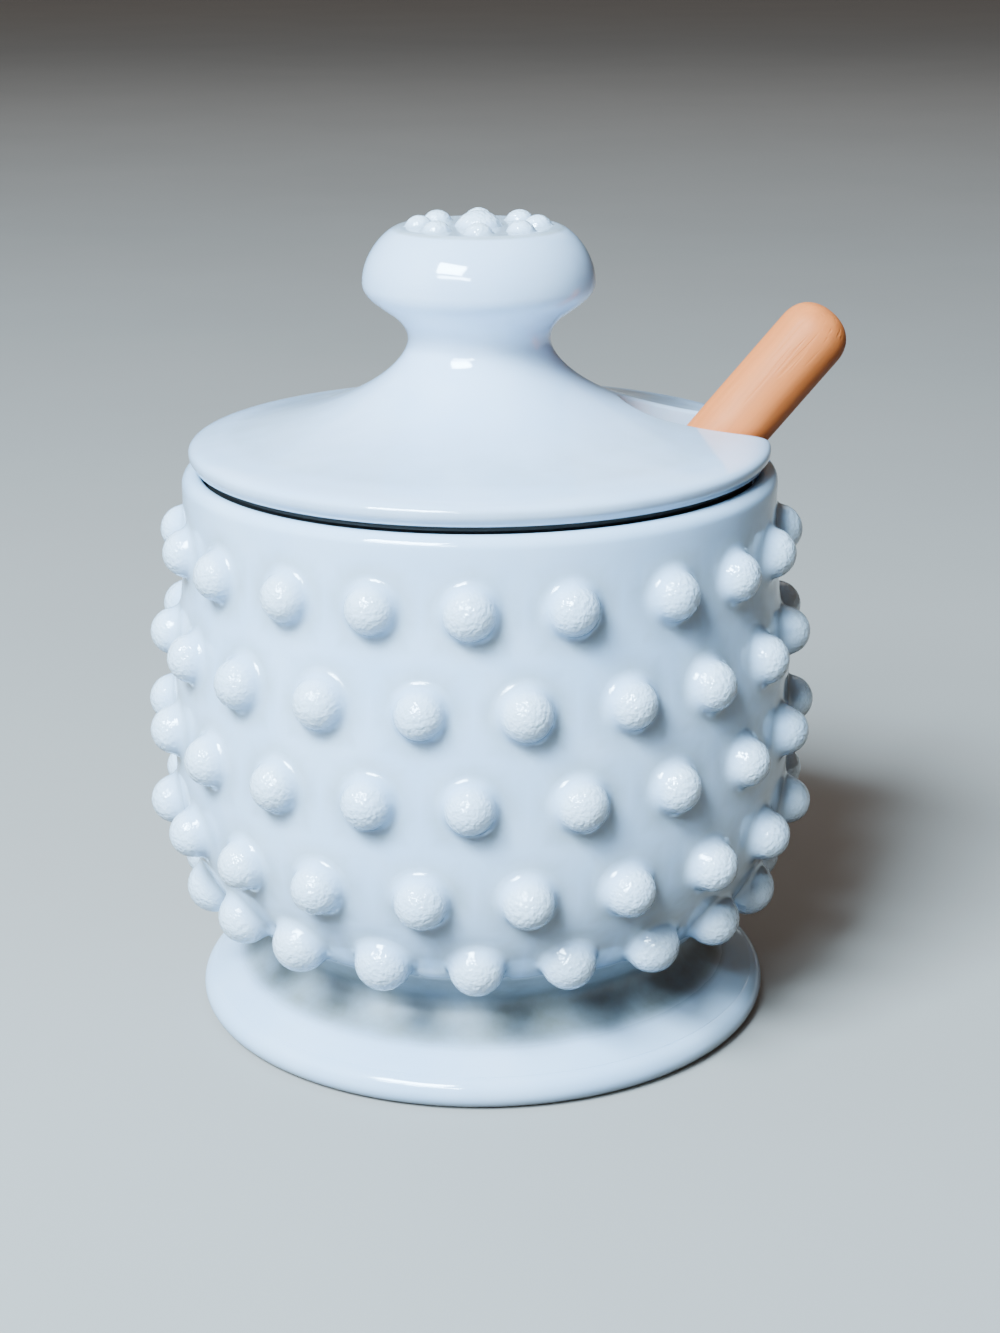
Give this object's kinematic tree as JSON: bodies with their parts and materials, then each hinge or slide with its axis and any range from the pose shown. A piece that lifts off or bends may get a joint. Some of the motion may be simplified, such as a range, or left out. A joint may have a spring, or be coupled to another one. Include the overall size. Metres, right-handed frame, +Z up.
{
  "type": "glass honey pot",
  "caption": "Footed opaque white glass honey pot covered in raised hobnails, with a knobbed lid notched at its rim and a turned wooden honey dipper leaning in the notch.",
  "frame": {"origin": "centre of the jar's flat base, on the surface it stands on", "axes": "+Z up through the middle of the knob, +X towards the side where the dipper leans out of the lid's notch (the notch points 6 degrees from +X towards +Y), -Y towards the viewer in the picture"},
  "size_m": [0.1112, 0.1072, 0.1283],
  "materials": {
    "jar_milk_glass": "glossy opaque milk glass",
    "lid_milk_glass": "glossy opaque milk glass",
    "dipper_wood": "smooth bare beech"
  },
  "bodies": {
    "root": {"jar": "jar_milk_glass", "lid": "lid_milk_glass", "dipper": "dipper_wood"}
  },
  "joints": []
}
